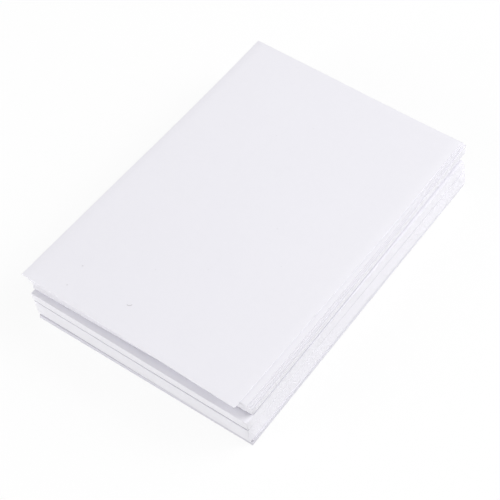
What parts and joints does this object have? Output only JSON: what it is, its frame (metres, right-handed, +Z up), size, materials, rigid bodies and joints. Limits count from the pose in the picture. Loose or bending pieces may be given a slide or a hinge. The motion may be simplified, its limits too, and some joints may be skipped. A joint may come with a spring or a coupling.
{
  "type": "ream of watercolor paper",
  "caption": "Loose rectangular stack of heavy white watercolour sheets, knocked roughly square, with a turned top sheet and an upper packet that curls up at one end.",
  "frame": {"origin": "middle of the lowest sheet's underside, on the surface that the stack stands on", "axes": "+X along the short side of the lowest sheet, +Y along its long side towards the end where the upper sheets curl up, +Z up through the stack"},
  "size_m": [0.1088, 0.1564, 0.0264],
  "materials": {
    "paper_white": "uncoated cold-pressed, fine tooth, matt"
  },
  "bodies": {
    "root": {"sheet_01": "paper_white", "sheet_02": "paper_white", "sheet_03": "paper_white", "sheet_04": "paper_white", "sheet_05": "paper_white", "sheet_06": "paper_white", "sheet_07": "paper_white", "sheet_08": "paper_white", "sheet_09": "paper_white", "sheet_10": "paper_white", "sheet_11": "paper_white", "sheet_12": "paper_white", "sheet_13": "paper_white", "sheet_14": "paper_white", "sheet_15": "paper_white", "sheet_16": "paper_white", "sheet_17": "paper_white", "sheet_18": "paper_white", "sheet_19": "paper_white", "sheet_20": "paper_white", "sheet_21": "paper_white", "sheet_22": "paper_white", "sheet_23": "paper_white", "sheet_24": "paper_white", "sheet_25": "paper_white", "sheet_26": "paper_white", "sheet_27": "paper_white", "sheet_28": "paper_white", "sheet_29": "paper_white", "sheet_30": "paper_white", "sheet_31": "paper_white", "sheet_32": "paper_white", "sheet_33": "paper_white", "sheet_34": "paper_white", "sheet_35": "paper_white", "sheet_36": "paper_white", "sheet_37": "paper_white", "sheet_38": "paper_white", "sheet_39": "paper_white", "sheet_40": "paper_white", "sheet_41": "paper_white", "sheet_42": "paper_white", "sheet_43": "paper_white", "sheet_44": "paper_white", "sheet_45": "paper_white", "sheet_46": "paper_white", "sheet_47": "paper_white", "sheet_48": "paper_white", "sheet_49": "paper_white", "sheet_50": "paper_white"}
  },
  "joints": []
}
